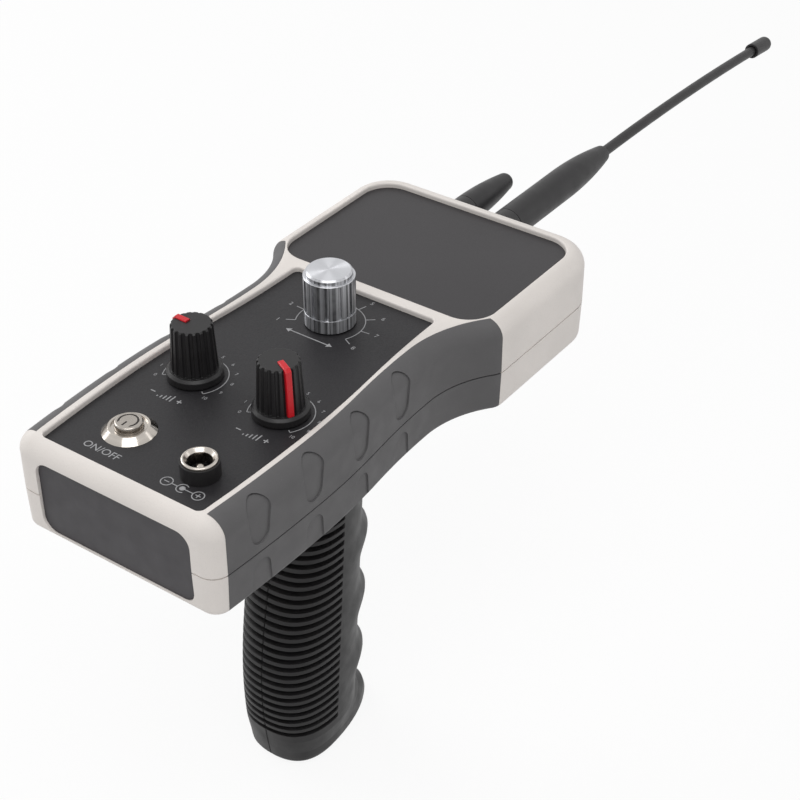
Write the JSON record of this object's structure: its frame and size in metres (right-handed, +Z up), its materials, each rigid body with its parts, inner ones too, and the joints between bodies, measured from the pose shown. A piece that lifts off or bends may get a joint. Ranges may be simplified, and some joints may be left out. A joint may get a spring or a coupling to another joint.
{
  "type": "long range metal detector",
  "caption": "Hand-held long range metal detector: waisted two-shell case with knobs, push button, charge jack and front antennas, turning on a ribbed pistol grip.",
  "frame": {"origin": "on the swivel axis, half way down the hand grip, where the hand closes", "axes": "+Y forward to the antennas, +Z up through the case's top, +X to the holder's right"},
  "size_m": [0.0808, 0.3645, 0.1584],
  "materials": {
    "case_plastic": "fine-grained light grey moulded plastic",
    "soft_grip": "matt dark grey soft-touch rubber",
    "panel_overlay": "fine-textured near-black film",
    "head_film": "plain dark grey film",
    "end_plastic": "dark grey moulded plastic",
    "black_plastic": "satin black plastic",
    "grip_plastic": "matt black moulded plastic",
    "red_plastic": "bright red plastic",
    "turned_aluminium": "spun and fine-turned aluminium",
    "bright_metal": "polished nickel plate",
    "steel": "bright zinc-plated steel",
    "antenna_rubber": "satin black antenna rubber",
    "bush_plastic": "white bearing plastic",
    "board": "green board laminate",
    "components": "black component bodies",
    "cell_wrap": "blue cell wrap",
    "brass": "plain brass"
  },
  "bodies": {
    "grip": {"grip_left_half": "grip_plastic", "grip_right_half": "grip_plastic", "grip_screws": "steel", "swivel_bushes": "bush_plastic"},
    "depth_control": {"depth_pot_shaft": "steel", "depth_knob": "black_plastic", "depth_pointer": "red_plastic"},
    "range_control": {"range_pot_shaft": "steel", "range_knob": "black_plastic", "range_pointer": "red_plastic"},
    "selector_control": {"selector_shaft": "steel", "selector_knob": "turned_aluminium", "selector_knob_core": "black_plastic"},
    "power_cap": {"power_button_cap": "bright_metal"},
    "case": {"top_shell": "case_plastic", "bottom_shell": "case_plastic", "upper_right_side_grip": "soft_grip", "upper_left_side_grip": "soft_grip", "lower_right_side_grip": "soft_grip", "lower_left_side_grip": "soft_grip", "control_overlay": "panel_overlay", "head_overlay": "head_film", "rear_end_panel": "end_plastic", "front_end_panel": "end_plastic", "case_screws": "steel", "main_board": "board", "board_components": "components", "board_screws": "steel", "battery_holder": "black_plastic", "battery_cells": "cell_wrap", "battery_contacts": "bright_metal", "selector_switch_body": "black_plastic", "selector_switch_nut": "steel", "power_button_bezel": "bright_metal", "power_button_base": "black_plastic", "power_button_terminals": "brass", "power_button_nut": "steel", "power_button_spring": "steel", "charge_jack_body": "black_plastic", "charge_jack_ring": "bright_metal", "charge_jack_pin": "bright_metal", "charge_jack_nut": "steel", "antenna_sockets": "brass", "antenna_socket_nuts": "steel", "whip_collar": "black_plastic", "whip_base": "antenna_rubber", "whip_rod": "antenna_rubber", "whip_tip": "black_plastic", "stub_collar": "black_plastic", "stub_sleeve": "antenna_rubber", "swivel_shaft": "steel", "swivel_flange_screws": "steel", "swivel_washer": "bush_plastic", "shaft_clip": "steel", "depth_pot_body": "steel", "depth_pot_nut": "steel", "range_pot_body": "steel", "range_pot_nut": "steel"}
  },
  "joints": [
    {"name": "grip_swivel", "type": "hinge", "parent": "grip", "child": "case", "pos_m": [0, 0, 0.05775], "axis": [0, 0, 1], "continuous": true},
    {"name": "depth_turn", "type": "hinge", "parent": "case", "child": "depth_control", "pos_m": [-0.0131, -0.0275, 0.08725], "axis": [0, 0, 1], "range_deg": [-240, 60]},
    {"name": "range_turn", "type": "hinge", "parent": "case", "child": "range_control", "pos_m": [0.0157, -0.0275, 0.08725], "axis": [0, 0, 1], "range_deg": [-35, 265]},
    {"name": "selector_turn", "type": "hinge", "parent": "case", "child": "selector_control", "pos_m": [0, 0.0137, 0.08725], "axis": [0, 0, 1], "range_deg": [-119, 119]},
    {"name": "power_press", "type": "slide", "parent": "case", "child": "power_cap", "axis": [0, 0, -1], "range_m": [0, 0.0015], "stiffness_N_per_m": 1500, "springref_m": -0.0006, "deforming": ["power_button_spring"]}
  ]
}
